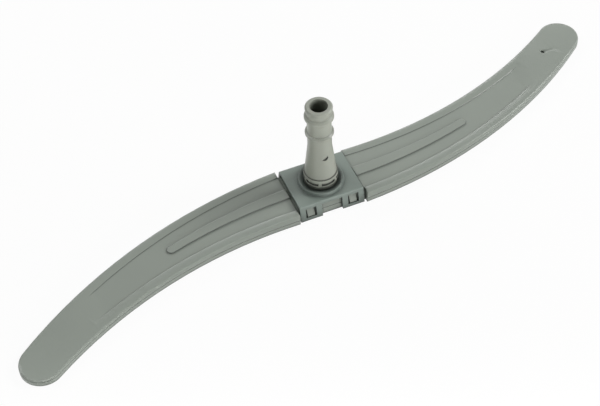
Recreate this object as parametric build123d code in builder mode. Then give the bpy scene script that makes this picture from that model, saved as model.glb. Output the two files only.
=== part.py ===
"""Spray arm of a dishwasher with its feed tube.

A flat hollow arm, bent like an S in plan, is welded from two moulded shells. A saddle clip snapped over its
middle holds the foot of the feed tube, and the arm spins round that tube. Millimetres, +Z up along the tube,
+X along the hub, origin on the spin axis in the plane of the underside.
"""
import os
from math import atan2, cos, degrees, pi, radians, sin, tan

from build123d import *

os.makedirs("parts", exist_ok=True)

# Arm in plan: distances run along a blade's centre line from the spin axis
straight_run = 20.0  # straight part of the centre line on each side of the axis
bend_radius = 338.0  # radius of the centre line beyond the straight run
blade_length = 231.0  # distance at which the round tip starts
root_half_width = 21.9  # half width of a blade beside the hub
tip_half_width = 14.6  # half width of a blade where the round tip starts

# Arm in section: heights above the underside
seam_height = 4.1  # weld seam between the two shells
root_thickness = 9.7  # top of the rims beside the hub
tip_thickness = 6.0  # top of the arm at the very tip
shell_wall = 1.9  # wall of both shells
edge_round = 1.4  # round along the top edge, in two flats
underside_bevel = 0.5  # bevel along the bottom edge
seam_bevel = 0.4  # bevel on each shell at the seam

# Recessed panel and centre rib on each blade
rim_width = 5.7  # rim between the panel and the blade's edge, beside the hub
rim_fade_width = 7.2  # the same rim where the panel ends
crest_width = 4.2  # flat top of the rim beside the hub; from there it slopes down to the panel
crest_fade_width = 3.9  # the same flat top where the panel ends
crest_drop = 0.5  # height of that slope
panel_depth = 1.1  # depth of the panel beside the hub
panel_end_depth = 0.9  # depth of the panel where its ramp starts
panel_reach = 174.0  # distance at which the ramp starts
panel_ramp = 15.0  # length over which the panel rises to the rims
rib_reach = 114.0  # distance at which the rib's round end starts
rib_root_half_width = 4.1  # half width of the rib beside the hub
rib_end_half_width = 2.8  # half width, and radius, of the rib's round end
rib_height = 0.95  # rib above the panel

# Drive jet in the top of the right tip
jet_distance = 209.8  # distance of the jet's hole
jet_offset = 2.0  # hole to the left of the centre line
jet_hole_radius = 1.5
jet_trough_radius = 2.1
jet_trough_length = 12.0  # trough from the hole to where it fades out
jet_depth = 1.3  # depth of the trough at the hole
jet_turn = -36.0  # trough against the centre line, in degrees

# Spray slots in the underside of each blade
slot_count = 5
slot_first = 52.0  # distance of the first slot
slot_pitch = 38.0  # distance from one slot to the next
slot_offset = 5.0  # slots lie to the left and right of the centre line by turns
slot_length = 7.0
slot_width = 2.2
slot_bevel = 0.7  # bevelled mouth round each slot

# Saddle clip over the middle of the arm
clip_length = 46.5
clip_top_width = 36.8
clip_foot_width = 41.6  # across the skirts at the height of the underside
clip_height = 12.4  # top plate above the underside
clip_plate = 2.0
clip_skirt = 2.0
clip_lift = 0.3  # skirts end this far above the underside
clip_round = 1.2  # round along the top edges
clip_gap = 1.3  # open gap between the clip and each blade
collar_base_radius = 15.9
collar_rim_radius = 15.4
collar_height = 2.8  # collar above the top plate
collar_rim = 1.1  # flat rim of the collar
collar_dish = 1.3  # drop from the rim to the hole

# Snap fit of the clip on the arm
window_width = 7.7
window_centre = 15.4  # window centre from the spin axis along the hub
window_bottom = 2.4
window_drop = 0.6  # top of the window below the plate's underside
notch_width = 14.8
notch_drop = 0.4  # top of the notch below the plate's underside
nose_width = 5.2
nose_reach = 1.5  # nose beyond the arm's side
nose_drop = 1.6  # top of the nose below the top of the window
snap_clearance = 0.15

# Feed tube from its mouth down: radii, and heights of one stretch after the other
mouth_radius = 9.2
mouth_bevel = 0.9  # bevel round the mouth's outer edge
mouth_edge = 1.2  # height of the straight rim below that bevel
flare_height = 3.4  # from the waist out to the mouth
waist_radius = 8.3
waist_height = 1.2
seal_ring_radius = 9.9
seal_ring_width = 4.6
neck_radius = 8.2
neck_height = 11.0  # between the two rings
stop_ring_radius = 9.65
stop_ring_width = 2.4
shoulder_height = 10.6  # straight neck below the lower ring
cone_height = 24.7
cone_foot_radius = 10.9
bore_steps = 3  # the bore widens by even steps inside the cone
ledge_radius = 11.7
ledge_width = 2.4
groove_radius = 10.7
groove_width = 2.4
web_count = 6
web_width = 2.2
web_root = 0.5  # webs run this far into the tube's wall
foot_ring_radius = 11.7
foot_ring_width = 1.0
foot_gap = 2.0  # foot ring above the clip's collar
shank_radius = 11.3
flange_radius = 15.2
flange_thickness = 1.6
spigot_radius = 10.5
spigot_end = 5.6  # lower end of the tube above the underside
bore_radius = 6.05
foot_bore_radius = 8.6
gate_mark_radius = 2.2  # round mark of the moulding gate
gate_mark_depth = 0.35  # at the middle of the mark
gate_mark_rise = 19.0  # middle of the mark above the foot of the cone
gate_mark_tilt = 12.0  # floor of the mark leans in below and to the right, in degrees
spin_clearance = 0.3  # running clearance between the tube and the arm
pocket_clearance = 0.9  # round the rim of the flange

# Worked-out places
clip_half = clip_length / 2
blade_root = clip_half + clip_gap
neck_half = blade_root + shell_wall
skirt_lean = (clip_foot_width - clip_top_width) / 2 / clip_height
side_inset = clip_skirt + snap_clearance
plate_underside = clip_height - clip_plate
flange_top = plate_underside - spin_clearance
pocket_floor = flange_top - flange_thickness - spin_clearance
cavity_top = pocket_floor - shell_wall
gap_floor = pocket_floor - clip_lift
window_top = plate_underside - window_drop
notch_top = plate_underside - notch_drop
nose_top = window_top - nose_drop
shank_hole_radius = shank_radius + spin_clearance
collar_top = clip_height + collar_height
foot_ring_bottom = collar_top + foot_gap
groove_bottom = foot_ring_bottom + foot_ring_width
ledge_bottom = groove_bottom + groove_width
cone_foot = ledge_bottom + ledge_width
cone_top = cone_foot + cone_height
stop_ring_bottom = cone_top + shoulder_height
stop_ring_top = stop_ring_bottom + stop_ring_width
seal_ring_bottom = stop_ring_top + neck_height
seal_ring_top = seal_ring_bottom + seal_ring_width
flare_bottom = seal_ring_top + waist_height
mouth_bottom = flare_bottom + flare_height
bevel_bottom = mouth_bottom + mouth_edge
tube_top = bevel_bottom + mouth_bevel
gate_mark_height = cone_foot + gate_mark_rise
panel_end = panel_reach + panel_ramp
tool_height = 2 * clip_height


def half_width(distance):
    """Half width of a blade, falling evenly from the root to the tip."""
    share = (distance - blade_root) / (blade_length - blade_root)
    return root_half_width + (tip_half_width - root_half_width) * share


def blade_turn(distance):
    """Angle of the centre line against the hub, in radians."""
    return (distance - straight_run) / bend_radius


def blade_point(distance, side):
    """Plan point at a distance along the right blade, side millimetres to the left of its centre line."""
    turn = blade_turn(distance)
    along = straight_run + (bend_radius - side) * sin(turn)
    across = bend_radius - (bend_radius - side) * cos(turn)
    return (along, across)


def band_face(start, end, start_half, end_half, round_end):
    """Face that follows the right blade between two distances, with a round or a straight far end."""
    middle = (start + end) / 2
    middle_half = (start_half + end_half) / 2
    right = [
        blade_point(start, -start_half),
        blade_point(middle, -middle_half),
        blade_point(end, -end_half),
    ]
    left = [
        blade_point(end, end_half),
        blade_point(middle, middle_half),
        blade_point(start, start_half),
    ]
    with BuildSketch() as band:
        with BuildLine():
            ThreePointArc(*right)
            if round_end:
                ThreePointArc(right[2], blade_point(end + end_half, 0), left[0])
            else:
                Line(right[2], left[0])
            ThreePointArc(*left)
            Line(left[2], right[0])
        make_face()
    return band.sketch


def blade_face(inset):
    """Outline of the right blade, inset evenly, with its round tip."""
    start = blade_root + inset
    return band_face(start, blade_length, half_width(start) - inset, tip_half_width - inset, True)


def sloped_plane(root_height, far_height, far_along):
    """Plane that faces up and runs from a height at the blade's root to another further along."""
    slope = atan2(root_height - far_height, far_along - blade_root)
    return Plane(
        origin=(blade_root, 0, root_height),
        x_dir=(cos(slope), 0, -sin(slope)),
        z_dir=(sin(slope), 0, cos(slope)),
    )


def sloped_face(outline, depth):
    """Section of an upright column over an outline, where a plane depth under the blade's top cuts it."""
    with BuildPart() as column:
        extrude(outline, amount=tool_height)
        split(bisect_by=top_plane.offset(-depth), keep=Keep.BOTTOM)
    return column.faces().sort_by(Axis.Z)[-1]


def panel_face(root_rim, end_rim):
    """Outline of the right blade's panel inside rims of a width at the root and another at its far end."""
    root_half = half_width(blade_root) - root_rim
    return band_face(blade_root, panel_end, root_half, half_width(panel_end) - end_rim, False)


def saddle_face(inset, bottom, top):
    """Section across the hub: the trapezium inside the clip's outer faces by inset, between two heights."""
    foot_half = clip_foot_width / 2 - inset - skirt_lean * bottom
    top_half = clip_foot_width / 2 - inset - skirt_lean * top
    with BuildSketch(Plane.YZ) as section:
        with BuildLine():
            Polyline(
                (-foot_half, bottom),
                (foot_half, bottom),
                (top_half, top),
                (-top_half, top),
                close=True,
            )
        make_face()
    return section.sketch


def nose_face(start_along, side):
    """Section of a latch nose on one side of the arm: a wedge, flat below where the window catches it."""
    arm_side = clip_foot_width / 2 - side_inset
    catch = window_bottom + snap_clearance
    top_side = arm_side - skirt_lean * nose_top
    seam_side = arm_side - skirt_lean * seam_height
    catch_side = arm_side - skirt_lean * catch
    with BuildSketch(Plane.YZ.offset(start_along)) as section:
        with BuildLine():
            Polyline(
                (side * (top_side - shell_wall / 2), nose_top),
                (side * top_side, nose_top),
                (side * (seam_side + nose_reach), seam_height),
                (side * (catch_side + nose_reach), catch),
                (side * (catch_side + snap_clearance), catch),
                (side * (seam_side + snap_clearance), seam_height),
                (side * (seam_side - shell_wall / 2), seam_height),
                close=True,
            )
        make_face()
    return section.sketch


def upright_plane(angle):
    """Plane through the spin axis with its x outwards at an angle in radians and its y up."""
    return Plane(origin=(0, 0, 0), x_dir=(cos(angle), sin(angle), 0), z_dir=(sin(angle), -cos(angle), 0))


def stepped_bore():
    """Profile of the bore inside the tube's cone, from the top down: even steps out to the foot's bore."""
    profile = []
    for step in range(bore_steps):
        height = cone_top - cone_height * (step + 1) / bore_steps
        for reached in (step, step + 1):
            radius = bore_radius + (foot_bore_radius - bore_radius) * reached / bore_steps
            profile.append((radius, height))
    return profile


def top_height(along):
    """Height of the blade's top at a place along the hub's axis."""
    share = (along - blade_root) / (tip_along - blade_root)
    return root_thickness + (tip_thickness - root_thickness) * share


# Slopes of the blade's top, of the panel's floor and ramp, of the rib's top and of the inner ceiling
tip_along = blade_point(blade_length + tip_half_width, 0)[0]
ramp_along = blade_point(panel_reach, 0)[0]
ramp_end_along = blade_point(panel_end, 0)[0]
panel_root = root_thickness - panel_depth
ramp_bottom = top_height(ramp_along) - panel_end_depth
ramp_rise = (top_height(ramp_end_along) - ramp_bottom) / (ramp_end_along - ramp_along)
top_plane = sloped_plane(root_thickness, tip_thickness, tip_along)
panel_plane = sloped_plane(panel_root, ramp_bottom, ramp_along)
ramp_plane = sloped_plane(ramp_bottom - ramp_rise * (ramp_along - blade_root), ramp_bottom, ramp_along)
rib_plane = panel_plane.offset(rib_height)
ceiling_plane = panel_plane.offset(-shell_wall)

# Panel of the right blade: an upright wall, then a slope up to the crest of the rim, above floor and ramp
rim_slope = [
    sloped_face(panel_face(rim_width, rim_fade_width), crest_drop),
    sloped_face(panel_face(2 * crest_width - rim_width, 2 * crest_fade_width - rim_fade_width), -crest_drop),
]
with BuildPart() as panel_cut:
    extrude(panel_face(rim_width, rim_fade_width), amount=tool_height)
    loft(rim_slope, ruled=True)
    split(bisect_by=panel_plane, keep=Keep.TOP)
    split(bisect_by=ramp_plane, keep=Keep.TOP)

with BuildPart() as rib_block:
    extrude(
        band_face(blade_root, rib_reach, rib_root_half_width, rib_end_half_width, True),
        amount=tool_height,
    )
    split(bisect_by=panel_plane.offset(-shell_wall / 2), keep=Keep.TOP)
    split(bisect_by=rib_plane, keep=Keep.BOTTOM)

with BuildPart() as blade_hollow:
    with BuildSketch(Plane.XY.offset(shell_wall)) as hollow_floor:
        add(blade_face(shell_wall))
    extrude(amount=tool_height)
    split(bisect_by=ceiling_plane, keep=Keep.BOTTOM)
    extrude(hollow_floor.sketch, amount=seam_height - shell_wall)

# Water way under the hub, from one blade's hollow to the other
inner_half = clip_foot_width / 2 - side_inset - skirt_lean * cavity_top - shell_wall
with BuildPart() as hub_hollow:
    with BuildSketch(Plane.XY.offset(shell_wall)):
        Rectangle(2 * (neck_half + shell_wall), 2 * inner_half)
    extrude(amount=cavity_top - shell_wall)

# Top half of the right blade, without the drive jet: a wall, then a top edge that turns in by two flats
edge_middle = edge_round * (1 - cos(radians(45)))
edge_sections = [
    sloped_face(blade_face(0), edge_round),
    sloped_face(blade_face(edge_middle), edge_middle),
    sloped_face(blade_face(edge_round), 0),
]
with BuildPart() as upper_blade:
    with BuildSketch(Plane.XY.offset(seam_height)):
        add(blade_face(0))
    extrude(amount=tool_height)
    split(bisect_by=top_plane.offset(-edge_round), keep=Keep.BOTTOM)
    loft(edge_sections, ruled=True)
    seam_edges = upper_blade.faces().sort_by(Axis.Z)[0].edges()
    chamfer(seam_edges.filter_by(GeomType.LINE, reverse=True), length=seam_bevel)
    add(panel_cut.part, mode=Mode.SUBTRACT)
    add(rib_block.part)

# Trough of the drive jet: a round cut that starts deep at the hole and rises out of the top
jet_point = blade_point(jet_distance, jet_offset)
jet_heading = blade_turn(jet_distance) + radians(jet_turn)
jet_rise = atan2(jet_depth, jet_trough_length)
jet_axis_height = top_height(jet_point[0]) - jet_depth + jet_trough_radius
jet_plane = Plane(
    origin=(jet_point[0], jet_point[1], jet_axis_height),
    z_dir=(cos(jet_heading) * cos(jet_rise), sin(jet_heading) * cos(jet_rise), sin(jet_rise)),
)

# Upper shell: both blades, the block under the clip with its latch noses, the inlet and the drive jet
with BuildPart() as upper_shell:
    add(upper_blade.part)
    add(upper_blade.part.rotate(Axis.Z, 180))
    extrude(saddle_face(side_inset, seam_height, gap_floor), amount=neck_half, both=True)
    extrude(
        saddle_face(side_inset, seam_height, plate_underside),
        amount=clip_half - clip_gap,
        both=True,
    )
    hub_edges = upper_shell.edges().filter_by(Axis.X)
    chamfer(hub_edges.filter_by_position(Axis.Z, seam_height, seam_height), length=seam_bevel)
    for side in (1, -1):
        for centre in (window_centre, -window_centre):
            extrude(nose_face(centre - nose_width / 2, side), amount=nose_width)
    add(blade_hollow.part, mode=Mode.SUBTRACT)
    add(blade_hollow.part.rotate(Axis.Z, 180), mode=Mode.SUBTRACT)
    add(hub_hollow.part, mode=Mode.SUBTRACT)
    with BuildSketch(Plane.XY.offset(pocket_floor)):
        Circle(flange_radius + pocket_clearance)
    extrude(amount=clip_height, mode=Mode.SUBTRACT)
    with BuildSketch(Plane.XY.offset(cavity_top - shell_wall)):
        Circle(spigot_radius + spin_clearance)
    extrude(amount=clip_height, mode=Mode.SUBTRACT)
    with BuildSketch(jet_plane):
        Circle(jet_trough_radius)
    extrude(amount=2 * jet_trough_length, mode=Mode.SUBTRACT)
    with BuildSketch(Plane.XY.offset(seam_height)):
        with Locations(jet_point):
            Circle(jet_hole_radius)
    extrude(amount=tool_height, mode=Mode.SUBTRACT)
upper_shell.part.label = "upper_shell"
export_step(upper_shell.part, "parts/upper_shell.step")

# Lower shell: both blades, the block under the clip and the spray slots
with BuildPart() as lower_blade:
    extrude(blade_face(0), amount=seam_height)
    bottom_edges = lower_blade.faces().sort_by(Axis.Z)[0].edges()
    chamfer(bottom_edges.filter_by(GeomType.LINE, reverse=True), length=underside_bevel)
    seam_edges = lower_blade.faces().sort_by(Axis.Z)[-1].edges()
    chamfer(seam_edges.filter_by(GeomType.LINE, reverse=True), length=seam_bevel)

with BuildPart() as lower_shell:
    add(lower_blade.part)
    add(lower_blade.part.rotate(Axis.Z, 180))
    extrude(saddle_face(side_inset, 0, seam_height), amount=neck_half, both=True)
    hub_edges = lower_shell.edges().filter_by(Axis.X)
    chamfer(hub_edges.filter_by_position(Axis.Z, seam_height, seam_height), length=seam_bevel)
    add(blade_hollow.part, mode=Mode.SUBTRACT)
    add(blade_hollow.part.rotate(Axis.Z, 180), mode=Mode.SUBTRACT)
    add(hub_hollow.part, mode=Mode.SUBTRACT)
    for number in range(slot_count):
        distance = slot_first + number * slot_pitch
        offset_side = slot_offset if number % 2 else -slot_offset
        along, across = blade_point(distance, offset_side)
        heading = degrees(blade_turn(distance))
        for half_turn in (0, 180):
            half_turned = Location((0, 0, 0), (0, 0, half_turn))
            with BuildSketch(Plane(half_turned * Location((along, across, 0), (0, 0, heading)))):
                Rectangle(slot_length, slot_width)
            extrude(amount=seam_height, mode=Mode.SUBTRACT)
    underside = lower_shell.faces().sort_by(Axis.Z)[0]
    slot_mouths = [wire.edges() for wire in underside.inner_wires()]
    chamfer([edge for mouth in slot_mouths for edge in mouth], length=slot_bevel)
lower_shell.part.label = "lower_shell"
export_step(lower_shell.part, "parts/lower_shell.step")

# Saddle clip: a plate with two leaning skirts, windows, notches and the collar
with BuildPart() as hub_clip:
    extrude(saddle_face(0, clip_lift, clip_height), amount=clip_half, both=True)
    long_edges = hub_clip.faces().sort_by(Axis.Z)[-1].edges().filter_by(Axis.X)
    fillet(long_edges, radius=clip_round)
    extrude(saddle_face(clip_skirt, 0, plate_underside), amount=clip_half, both=True, mode=Mode.SUBTRACT)
    with BuildSketch(Plane.XZ):
        with Locations(
            (-window_centre, (window_bottom + window_top) / 2),
            (window_centre, (window_bottom + window_top) / 2),
        ):
            Rectangle(window_width, window_top - window_bottom)
        with Locations((0, notch_top / 2)):
            Rectangle(notch_width, notch_top)
    extrude(amount=clip_foot_width, both=True, mode=Mode.SUBTRACT)
    with BuildSketch(Plane.XZ):
        with BuildLine():
            Polyline(
                (shank_hole_radius, plate_underside),
                (collar_base_radius, plate_underside),
                (collar_base_radius, clip_height),
                (collar_rim_radius, collar_top),
                (collar_rim_radius - collar_rim, collar_top),
                (shank_hole_radius, collar_top - collar_dish),
                close=True,
            )
        make_face()
    revolve(axis=Axis.Z)
    with BuildSketch(Plane.XY.offset(plate_underside)):
        Circle(shank_hole_radius)
    extrude(amount=clip_height, mode=Mode.SUBTRACT)
hub_clip.part.label = "hub_clip"
export_step(hub_clip.part, "parts/hub_clip.step")

# Feed tube: a turned profile with a stepped bore, webs at the foot and the moulding gate's mark
flange_bottom = flange_top - flange_thickness
with BuildPart() as feed_tube:
    with BuildSketch(Plane.XZ):
        with BuildLine():
            Polyline(
                *stepped_bore(),
                (foot_bore_radius, spigot_end),
                (spigot_radius, spigot_end),
                (spigot_radius, flange_bottom),
                (flange_radius, flange_bottom),
                (flange_radius, flange_top),
                (shank_radius, flange_top),
                (shank_radius, foot_ring_bottom),
                (foot_ring_radius, foot_ring_bottom),
                (foot_ring_radius, groove_bottom),
                (groove_radius, groove_bottom),
                (groove_radius, ledge_bottom),
                (ledge_radius, ledge_bottom),
                (ledge_radius, cone_foot),
                (cone_foot_radius, cone_foot),
                (neck_radius, cone_top),
                (neck_radius, stop_ring_bottom),
                (stop_ring_radius, stop_ring_bottom + stop_ring_width / 3),
                (stop_ring_radius, stop_ring_top - stop_ring_width / 3),
                (neck_radius, stop_ring_top),
                (neck_radius, seal_ring_bottom),
                (seal_ring_radius, seal_ring_bottom + seal_ring_width / 3),
                (seal_ring_radius, seal_ring_top - seal_ring_width / 3),
                (waist_radius, seal_ring_top),
                (waist_radius, flare_bottom),
                (mouth_radius, mouth_bottom),
                (mouth_radius, bevel_bottom),
                (mouth_radius - mouth_bevel, tube_top),
                (bore_radius, tube_top),
                close=True,
            )
        make_face()
    revolve(axis=Axis.Z)
    web_turn = web_width / ledge_radius
    for number in range(web_count):
        with BuildSketch(upright_plane(2 * pi * number / web_count)):
            with BuildLine():
                Polyline(
                    (groove_radius - web_root, groove_bottom),
                    (ledge_radius, groove_bottom),
                    (ledge_radius, ledge_bottom),
                    (groove_radius - web_root, ledge_bottom),
                    close=True,
                )
            make_face()
        revolve(axis=Axis.Z, revolution_arc=degrees(web_turn))
    gate_radius = cone_foot_radius + (neck_radius - cone_foot_radius) * gate_mark_rise / cone_height
    gate_lean = tan(radians(gate_mark_tilt))
    gate_plane = Plane(
        origin=(0, gate_mark_depth - gate_radius, gate_mark_height),
        z_dir=(gate_lean, -1, -gate_lean),
    )
    with BuildSketch(gate_plane):
        Circle(gate_mark_radius)
    extrude(amount=gate_radius, mode=Mode.SUBTRACT)
feed_tube.part.label = "feed_tube"
export_step(feed_tube.part, "parts/feed_tube.step")
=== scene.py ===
"""Looks of a dishwasher spray arm with its feed tube.

Each CAD piece gets a smoothly shaded copy in moulded grey plastic, on a pale floor under soft studio light.
"""
import math

import bpy
import numpy as np
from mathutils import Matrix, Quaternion, Vector


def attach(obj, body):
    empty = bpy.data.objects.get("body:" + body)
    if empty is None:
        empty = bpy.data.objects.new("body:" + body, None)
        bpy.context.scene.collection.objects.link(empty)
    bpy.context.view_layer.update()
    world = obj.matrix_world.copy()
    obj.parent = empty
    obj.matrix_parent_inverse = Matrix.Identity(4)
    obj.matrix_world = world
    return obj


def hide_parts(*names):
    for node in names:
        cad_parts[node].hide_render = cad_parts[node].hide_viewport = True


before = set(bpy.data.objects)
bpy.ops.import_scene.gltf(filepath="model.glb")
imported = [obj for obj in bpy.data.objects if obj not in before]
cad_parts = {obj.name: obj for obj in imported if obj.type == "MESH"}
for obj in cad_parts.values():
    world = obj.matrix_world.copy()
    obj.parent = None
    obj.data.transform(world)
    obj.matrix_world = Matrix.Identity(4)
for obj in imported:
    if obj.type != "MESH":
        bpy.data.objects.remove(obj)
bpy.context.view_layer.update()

MM = 0.001
WHITE = (1, 1, 1, 1)

# Camera: where it stands, in degrees and metres, the place on the floor that it looks at, and its lens
CAMERA_AZIMUTH = -20.89
CAMERA_ELEVATION = 48.765
CAMERA_ROLL = -2.543
CAMERA_DISTANCE = 1.0979
CAMERA_AIM = Vector((-17.23 * MM, -3.76 * MM, 0.0))
CAMERA_LENS = 97.04
SENSOR_WIDTH = 36.0

# Arm's plan and top, in millimetres, as in the solid
STRAIGHT_RUN = 20.0
BEND_RADIUS = 338.0
BLADE_ROOT = 24.55
TIP_ALONG = 229.22
ROOT_TOP = 9.7
TIP_TOP = 6.0
PANEL_END = 189.0

# Ramp's last edge, in millimetres: how near its points lie to the panel's end, and how far under the top
RAMP_END_REACH = 0.3
RAMP_END_GAP = 0.6

# Copies: corners this near in millimetres are one, and an edge stays sharp where its faces turn by more
SAME_CORNER = 0.001
SHARP_DEGREES = 34
AREA_WEIGHT = 100

# Plastic: patterns in millimetres. The real spark-eroded grain is some 0.1 mm wide, and it is drawn
# coarser so that it shows.
CLOUD_SIZE = 38
GRAIN_SIZE = 1.6
GRAIN_DEPTH = 0.05
GRAIN_STRENGTH = 0.03
GLOSS_CHANGE = 0.04
# The most that painted shade in creases darkens a plastic's colour toward its shade colour
DEEPEST_PAINTED_SHADE = 0.85
RAYS_PER_POINT = 12
PLASTIC_IOR = 1.49

# Floor: half its width in metres, and how much of it is plain white to the eye, the rest being lit and shaded
FLOOR_REACH = 6.0
WHITE_SHARE = 0.94

# Light: strength of the white room, then lamps by azimuth from the camera and elevation in degrees,
# distance, width and height in metres, and watts
ROOM_LIGHT = 0.02
SOFTBOXES = {
    "key_softbox": (101, 38, 2.6, 1.0, 1.0, 42.0),
    "left_softbox": (-85, 58, 3.2, 1.3, 1.3, 13.0),
    "far_left_softbox": (-115, 40, 2.4, 1.0, 1.0, 12.0),
    "low_front_softbox": (22, 14, 2.0, 1.8, 0.45, 17.5),
    "back_softbox": (186, 27, 1.8, 1.4, 0.35, 7.0),
}
TABLE_LAMPS = {
    "front_table_lamp": (0, 35, 0.5, 0.8, 0.25, 2.6),
}
TABLE_LAMP_SPREAD = 70


def linear(hex_colour):
    """Linear RGBA of an sRGB hex colour."""
    channels = [int(hex_colour[i:i + 2], 16) / 255 for i in (1, 3, 5)]
    return tuple(c / 12.92 if c <= 0.04045 else ((c + 0.055) / 1.055) ** 2.4 for c in channels) + (1.0,)


def per_metre(size_mm):
    """Texture scale at which one patch of a pattern on Object coordinates is a size in millimetres."""
    return 1000.0 / size_mm


def add_node(material, kind, settings=None, **links):
    """Adds a node, with settings by attribute or socket and links by socket: _6 is the socket number 6."""
    node = material.node_tree.nodes.new(kind)
    for name, value in (settings or {}).items():
        if name[1:].isdigit():
            node.inputs[int(name[1:])].default_value = value
        elif name in node.inputs:
            node.inputs[name].default_value = value
        else:
            setattr(node, name, value)
    for name, source in links.items():
        socket = int(name[1:]) if name[1:].isdigit() else name.replace("_", " ")
        material.node_tree.links.new(source, node.inputs[socket])
    return node


def new_material(name):
    """An empty node material, ready for its shader."""
    material = bpy.data.materials.new(name)
    material.use_nodes = True
    material.node_tree.nodes.clear()
    return material


def seen_by_eye(material):
    """1 on rays that the camera sees, straight, reflected or through the object, and 0 on spread light."""
    ray = add_node(material, "ShaderNodeLightPath")
    seen = add_node(
        material, "ShaderNodeMath", {"operation": "MAXIMUM"},
        _0=ray.outputs["Is Camera Ray"], _1=ray.outputs["Is Glossy Ray"],
    )
    seen = add_node(
        material, "ShaderNodeMath", {"operation": "MAXIMUM"},
        _0=seen.outputs[0], _1=ray.outputs["Is Transmission Ray"],
    )
    return seen.outputs[0]


def direction(azimuth, elevation):
    """Unit vector from the object towards a place at an azimuth and elevation in degrees."""
    a, e = math.radians(azimuth), math.radians(elevation)
    return Vector((math.sin(a) * math.cos(e), -math.cos(a) * math.cos(e), math.sin(e)))


def blade_place(places):
    """Distances along a blade's centre line and along the hub's axis, for points of either blade, in mm.

    The left blade is turned half round onto the right one, whose centre line runs straight for 20 mm and then
    round an arc: the angle seen from the arc's centre, times the arc's radius, gives the distance.
    """
    along, across = np.where(places[:, :1] < 0, -places[:, :2], places[:, :2]).T / MM
    turn = np.arctan2(along - STRAIGHT_RUN, BEND_RADIUS - across)
    return STRAIGHT_RUN + BEND_RADIUS * turn, along


def flush_ramp_ends(places):
    """Upper shell's points with the last edge of each panel's ramp raised to the blade's sloping top.

    The top falls evenly along the hub's axis, from its height at the blade's root to its height at the tip.
    """
    distance, along = blade_place(places)
    top = ROOT_TOP + (TIP_TOP - ROOT_TOP) * (along - BLADE_ROOT) / (TIP_ALONG - BLADE_ROOT)
    gap = top * MM - places[:, 2]
    at_end = (np.abs(distance - PANEL_END) < RAMP_END_REACH) & (gap > 0) & (gap < RAMP_END_GAP * MM)
    raised = places.copy()
    raised[at_end, 2] = top[at_end] * MM
    return raised


def merged_copy(node, body):
    """A copy of a CAD node's loose triangles with equal corners made one vertex, so that it shades smoothly.

    Corners are equal where their coordinates, rounded to a micrometre, agree.
    """
    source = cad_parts[node].data
    corners = np.empty(len(source.vertices) * 3)
    source.vertices.foreach_get("co", corners)
    corners = corners.reshape(-1, 3)
    loops = np.empty(len(source.loops), dtype=np.int64)
    source.loops.foreach_get("vertex_index", loops)
    rounded = np.round(corners / (SAME_CORNER * MM)).astype(np.int64)
    _, first, same = np.unique(rounded, axis=0, return_index=True, return_inverse=True)
    triangles = same.reshape(-1)[loops].reshape(-1, 3)
    places = corners[first]
    if node == "upper_shell":
        places = flush_ramp_ends(places)
    flat = (triangles == np.roll(triangles, 1, axis=1)).any(axis=1)
    mesh = bpy.data.meshes.new(node + "_skin")
    mesh.from_pydata(places.tolist(), [], triangles[~flat].tolist())
    mesh.polygons.foreach_set("use_smooth", np.ones(len(mesh.polygons), dtype=bool))
    mesh.set_sharp_from_angle(angle=math.radians(SHARP_DEGREES))
    piece = bpy.data.objects.new(node + "_skin", mesh)
    bpy.context.scene.collection.objects.link(piece)
    shading = piece.modifiers.new("weighted_normals", "WEIGHTED_NORMAL")
    shading.keep_sharp = True
    shading.weight = AREA_WEIGHT
    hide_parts(node)
    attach(piece, body)
    return piece


def moulded_plastic(name, colour, cloud, painted_shade_colour, crease_mm, closed, open_sky, roughness, edge_mm):
    """Injection-moulded plastic: flow clouds, a fine grain, painted shade in creases and rounded edges.

    A crease gets painted shade: its colour is darkened toward the shade colour where the share of open sky
    within crease_mm falls from open_sky to closed. Edges look rounded by edge_mm.
    """
    material = new_material(name)
    place = add_node(material, "ShaderNodeTexCoord").outputs["Object"]
    clouds = add_node(
        material, "ShaderNodeTexNoise",
        {"Scale": per_metre(CLOUD_SIZE), "Detail": 3.0, "Roughness": 0.55}, Vector=place,
    )
    grain = add_node(
        material, "ShaderNodeTexNoise",
        {"Scale": per_metre(GRAIN_SIZE), "Detail": 1.0, "Roughness": 0.5}, Vector=place,
    )
    tint = add_node(
        material, "ShaderNodeMix", {"data_type": "RGBA", "_6": linear(colour), "_7": linear(cloud)},
        Factor=clouds.outputs["Fac"],
    )
    # Painted shade: ambient occlusion darkens the colour in creases and hollows, where shade falls
    sky = add_node(
        material, "ShaderNodeAmbientOcclusion",
        {"samples": RAYS_PER_POINT, "only_local": False, "Distance": crease_mm * MM},
    )
    painted_shade_amount = add_node(
        material, "ShaderNodeMapRange",
        {"From Min": closed, "From Max": open_sky, "To Min": DEEPEST_PAINTED_SHADE, "To Max": 0.0},
        Value=sky.outputs["AO"],
    )
    painted_shade_tint = add_node(
        material, "ShaderNodeMix", {"data_type": "RGBA", "_7": linear(painted_shade_colour)},
        Factor=painted_shade_amount.outputs["Result"], _6=tint.outputs[2],
    )
    edge = add_node(material, "ShaderNodeBevel", {"samples": RAYS_PER_POINT, "Radius": edge_mm * MM})
    bump = add_node(
        material, "ShaderNodeBump", {"Strength": GRAIN_STRENGTH, "Distance": GRAIN_DEPTH * MM},
        Height=grain.outputs["Fac"], Normal=edge.outputs["Normal"],
    )
    gloss = add_node(
        material, "ShaderNodeMapRange",
        {"To Min": roughness - GLOSS_CHANGE, "To Max": roughness + GLOSS_CHANGE},
        Value=clouds.outputs["Fac"],
    )
    shader = add_node(
        material, "ShaderNodeBsdfPrincipled", {"IOR": PLASTIC_IOR},
        Base_Color=painted_shade_tint.outputs[2], Roughness=gloss.outputs["Result"], Normal=bump.outputs["Normal"],
    )
    add_node(material, "ShaderNodeOutputMaterial", Surface=shader.outputs["BSDF"])
    return material


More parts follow.
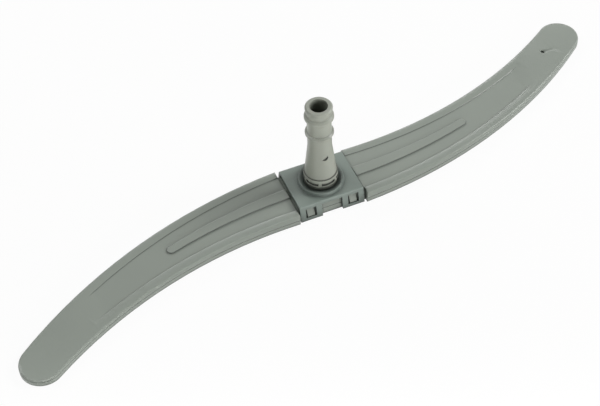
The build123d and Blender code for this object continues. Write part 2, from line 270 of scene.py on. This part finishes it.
# Shells: polypropylene, injection-moulded in a spark-eroded tool. It gives a satin grey with faint flow
# clouds and soft rims that catch the light. A thin dark line of painted shade lies in the narrow creases.
arm_finish = moulded_plastic(
    "grey_polypropylene_moulded", colour="#8c938b", cloud="#91988f", painted_shade_colour="#313833",
    crease_mm=2.4, closed=0.45, open_sky=0.95, roughness=0.3, edge_mm=1.0,
)
# Clip: polypropylene of another batch, injection-moulded. It gives a cooler and darker grey with crisper
# edges. Painted shade darkens it in its windows and round the collar and the tube's foot.
clip_finish = moulded_plastic(
    "grey_polypropylene_clip", colour="#7f8a83", cloud="#859089", painted_shade_colour="#27302b",
    crease_mm=10.0, closed=0.45, open_sky=0.95, roughness=0.3, edge_mm=0.5,
)
# Tube: acetal, injection-moulded. It gives a hard, warm and paler satin grey with the crispest edges.
# Painted shade darkens it between its rings and in its bore.
tube_finish = moulded_plastic(
    "grey_acetal_tube", colour="#999d92", cloud="#9ea297", painted_shade_colour="#1f2420",
    crease_mm=9.0, closed=0.55, open_sky=0.92, roughness=0.3, edge_mm=0.25,
)
for node, body, slot, finish in (
    ("upper_shell", "arm", "arm_plastic", arm_finish),
    ("lower_shell", "arm", "arm_plastic", arm_finish),
    ("hub_clip", "arm", "clip_plastic", clip_finish),
    ("feed_tube", "tube", "tube_plastic", tube_finish),
):
    skin = merged_copy(node, body)
    skin.data.materials.append(finish)

# Floor: matt pale board, nearly white to the camera so that it keeps only the shadow
floor_corners = [
    (-FLOOR_REACH, -FLOOR_REACH, 0),
    (FLOOR_REACH, -FLOOR_REACH, 0),
    (FLOOR_REACH, FLOOR_REACH, 0),
    (-FLOOR_REACH, FLOOR_REACH, 0),
]
floor_mesh = bpy.data.meshes.new("floor")
floor_mesh.from_pydata(floor_corners, [], [(0, 1, 2, 3)])
floor = bpy.data.objects.new("floor", floor_mesh)
bpy.context.scene.collection.objects.link(floor)
floor_finish = new_material("pale_floor")
pale = add_node(floor_finish, "ShaderNodeBsdfDiffuse", {"Color": linear("#f4f4f2")})
white = add_node(floor_finish, "ShaderNodeEmission", {"Color": WHITE, "Strength": 1.0})
share = add_node(floor_finish, "ShaderNodeMapRange", {"To Max": WHITE_SHARE}, Value=seen_by_eye(floor_finish))
mix = add_node(
    floor_finish, "ShaderNodeMixShader", _0=share.outputs[0], _1=pale.outputs[0], _2=white.outputs[0],
)
add_node(floor_finish, "ShaderNodeOutputMaterial", Surface=mix.outputs[0])
floor_mesh.materials.append(floor_finish)

# Room: a little light on the object, and plain white to the camera and in reflections
world = bpy.data.worlds.new("studio")
bpy.context.scene.world = world
world.use_nodes = True
world.node_tree.nodes.clear()
room = add_node(world, "ShaderNodeBackground", {"Color": WHITE, "Strength": ROOM_LIGHT})
white = add_node(world, "ShaderNodeBackground", {"Color": WHITE, "Strength": 1.0})
mix = add_node(
    world, "ShaderNodeMixShader", _0=seen_by_eye(world), _1=room.outputs[0], _2=white.outputs[0],
)
add_node(world, "ShaderNodeOutputWorld", Surface=mix.outputs[0])

# Softboxes face the hub; table lamps hang low beside the arm and face straight down
for name, (azimuth, elevation, distance, width, height, power) in {**SOFTBOXES, **TABLE_LAMPS}.items():
    lamp = bpy.data.lights.new(name, "AREA")
    lamp.shape = "RECTANGLE"
    lamp.size = width
    lamp.size_y = height
    lamp.energy = power
    towards = direction(CAMERA_AZIMUTH + azimuth, elevation)
    holder = bpy.data.objects.new(name, lamp)
    bpy.context.scene.collection.objects.link(holder)
    holder.location = towards * distance
    holder.rotation_mode = "QUATERNION"
    if name in TABLE_LAMPS:
        lamp.spread = math.radians(TABLE_LAMP_SPREAD)
        holder.rotation_quaternion = Quaternion((0, 0, 1), math.radians(CAMERA_AZIMUTH + azimuth))
    else:
        holder.rotation_quaternion = (-towards).to_track_quat("-Z", "Y")

# Camera: it looks back along its own direction, rolled a little
camera_data = bpy.data.cameras.new("camera")
camera_data.lens = CAMERA_LENS
camera_data.sensor_width = SENSOR_WIDTH
camera = bpy.data.objects.new("camera", camera_data)
bpy.context.scene.collection.objects.link(camera)
back = direction(CAMERA_AZIMUTH, CAMERA_ELEVATION)
camera.location = CAMERA_AIM + back * CAMERA_DISTANCE
camera.rotation_mode = "QUATERNION"
roll = Quaternion((0, 0, 1), math.radians(CAMERA_ROLL))
camera.rotation_quaternion = (-back).to_track_quat("-Z", "Y") @ roll
bpy.context.scene.camera = camera
bpy.context.scene.view_settings.view_transform = "Standard"
